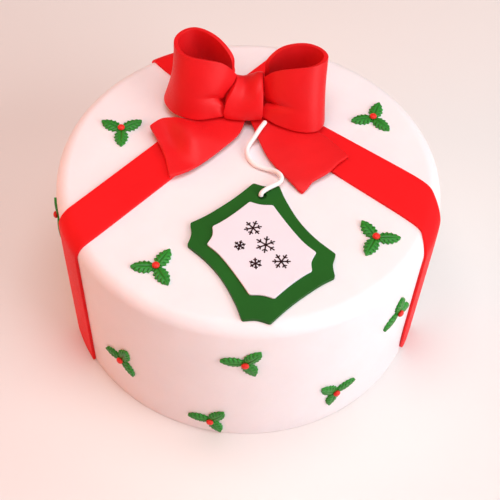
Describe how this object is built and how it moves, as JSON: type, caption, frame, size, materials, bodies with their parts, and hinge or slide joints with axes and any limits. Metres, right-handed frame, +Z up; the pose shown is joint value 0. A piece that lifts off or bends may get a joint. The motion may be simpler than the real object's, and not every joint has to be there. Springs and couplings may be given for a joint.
{
  "type": "christmas cake",
  "caption": "Round white iced Christmas cake with red icing ribbon and bow, a green and white hanging tag on a white cord, and holly sprigs with red berries.",
  "frame": {"origin": "centre of the cake's flat foot", "axes": "+Z up from the foot to the bow, -Y towards the front with the tag, +X to the right"},
  "size_m": [0.2174, 0.2181, 0.1465],
  "materials": {
    "icing_white": "satin rolled sugar icing, soft and faintly uneven",
    "ribbon_red": "satin red sugar icing strip",
    "bow_red": "satin red sugar icing strip, slightly glossy",
    "leaf_green": "satin green sugar icing, embossed veins",
    "berry_red": "satin red sugar ball",
    "plaque_green": "satin dark green sugar icing",
    "inset_white": "matte white sugar icing, thin",
    "string_white": "satin white sugar icing cord"
  },
  "bodies": {
    "root": {"cake": "icing_white", "ribbon_long": "ribbon_red", "ribbon_front_right": "ribbon_red", "ribbon_back_left": "ribbon_red", "bow_loop_left": "bow_red", "bow_loop_right": "bow_red", "bow_knot": "bow_red", "bow_tail_left": "bow_red", "bow_tail_right": "bow_red", "tag_string": "string_white", "tag_plaque": "plaque_green", "tag_inset": "inset_white", "holly_top_1_leaves": "leaf_green", "holly_top_1_berry": "berry_red", "holly_top_2_leaves": "leaf_green", "holly_top_2_berry": "berry_red", "holly_top_3_leaves": "leaf_green", "holly_top_3_berry": "berry_red", "holly_top_4_leaves": "leaf_green", "holly_top_4_berry": "berry_red", "holly_wall_1_leaves": "leaf_green", "holly_wall_1_berry": "berry_red", "holly_wall_2_leaves": "leaf_green", "holly_wall_2_berry": "berry_red", "holly_wall_3_leaves": "leaf_green", "holly_wall_3_berry": "berry_red", "holly_wall_4_leaves": "leaf_green", "holly_wall_4_berry": "berry_red", "holly_wall_5_leaves": "leaf_green", "holly_wall_5_berry": "berry_red", "holly_wall_6_leaves": "leaf_green", "holly_wall_6_berry": "berry_red", "holly_wall_7_leaves": "leaf_green", "holly_wall_7_berry": "berry_red", "holly_wall_8_leaves": "leaf_green", "holly_wall_8_berry": "berry_red", "holly_wall_9_leaves": "leaf_green", "holly_wall_9_berry": "berry_red", "holly_wall_10_leaves": "leaf_green", "holly_wall_10_berry": "berry_red", "holly_wall_11_leaves": "leaf_green", "holly_wall_11_berry": "berry_red", "holly_wall_12_leaves": "leaf_green", "holly_wall_12_berry": "berry_red", "holly_wall_13_leaves": "leaf_green", "holly_wall_13_berry": "berry_red", "holly_wall_14_leaves": "leaf_green", "holly_wall_14_berry": "berry_red", "holly_wall_15_leaves": "leaf_green", "holly_wall_15_berry": "berry_red"}
  },
  "joints": []
}
